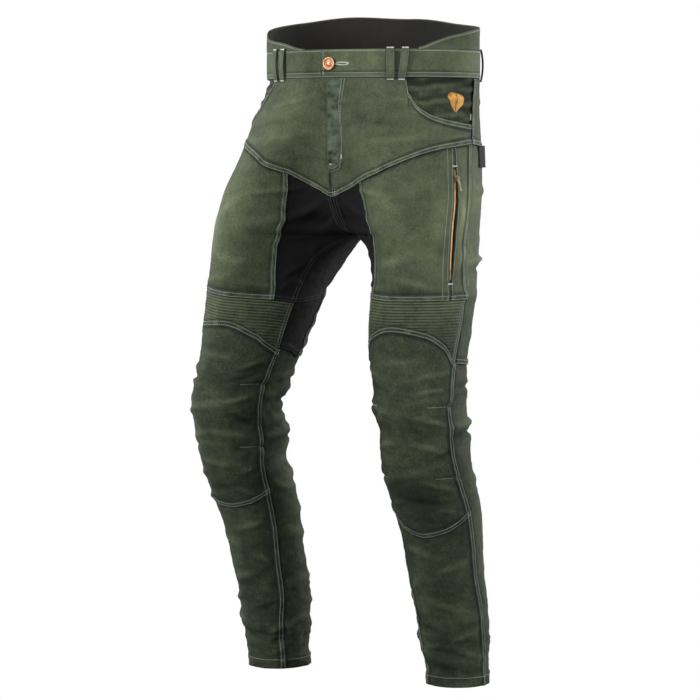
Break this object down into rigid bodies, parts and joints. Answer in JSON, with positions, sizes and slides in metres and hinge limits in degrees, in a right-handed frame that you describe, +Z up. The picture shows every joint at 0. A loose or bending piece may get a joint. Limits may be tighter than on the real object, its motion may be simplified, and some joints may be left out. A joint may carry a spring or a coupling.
{
  "type": "motorcycle trousers",
  "caption": "Riding jeans in olive twill with black stretch panels, ribs over the knees, thigh zips and hip pockets, in worn shape with no wearer.",
  "frame": {"origin": "middle of the waist opening, at half the height of the waistband, where the wearer's waist holds the trousers", "axes": "+Z up along the body, -Y to the front of the garment, +X to the wearer's left"},
  "size_m": [0.4646, 0.3615, 1.0478],
  "materials": {
    "olive_twill": "matte faded cotton twill",
    "black_stretch": "matte stretch weave",
    "charcoal_lining": "matte soft lining",
    "zip_tape": "woven polyester tape",
    "copper_button": "worn copper plating",
    "zip_metal": "antique plating",
    "black_tab": "plain woven tape"
  },
  "bodies": {
    "trousers": {"back_lining": "charcoal_lining", "back_thigh_left": "olive_twill", "back_thigh_right": "olive_twill", "belt_loop_back": "olive_twill", "belt_loop_front_left": "olive_twill", "belt_loop_front_right": "olive_twill", "belt_loop_side_left": "olive_twill", "belt_loop_side_right": "olive_twill", "belt_loop_slant_left": "olive_twill", "belt_loop_slant_right": "olive_twill", "calf_left": "olive_twill", "calf_right": "olive_twill", "fly_placket": "olive_twill", "front_left": "olive_twill", "front_right": "olive_twill", "inner_back_left": "black_stretch", "inner_back_low_left": "black_stretch", "inner_back_low_right": "black_stretch", "inner_back_right": "black_stretch", "inner_front_left": "black_stretch", "inner_front_right": "black_stretch", "knee_left": "olive_twill", "knee_right": "olive_twill", "pocket_facing_left": "olive_twill", "pocket_facing_right": "olive_twill", "raised_back": "olive_twill", "rib_band_left": "olive_twill", "rib_band_right": "olive_twill", "seat_left": "olive_twill", "seat_right": "olive_twill", "shin_left": "olive_twill", "shin_right": "olive_twill", "side_tab": "black_tab", "tack_button": "copper_button", "thigh_front_left": "olive_twill", "thigh_front_right": "olive_twill", "thigh_side_left": "olive_twill", "thigh_side_right": "olive_twill", "waistband_left": "olive_twill", "waistband_right": "olive_twill", "zip_slider_left": "zip_metal", "zip_slider_right": "zip_metal", "zip_tape_left": "zip_tape", "zip_tape_right": "zip_tape"},
    "left_pull": {"zip_pull_left": "zip_metal"},
    "right_pull": {"zip_pull_right": "zip_metal"}
  },
  "joints": [
    {"name": "left_pull_swing", "type": "hinge", "parent": "trousers", "child": "left_pull", "pos_m": [0.20092, -0.09143, -0.1746], "axis": [-0.1938, -0.981, 0], "range_deg": [0, 150]},
    {"name": "right_pull_swing", "type": "hinge", "parent": "trousers", "child": "right_pull", "pos_m": [-0.20092, -0.09143, -0.1746], "axis": [-0.1938, 0.981, 0], "range_deg": [0, 150]}
  ]
}
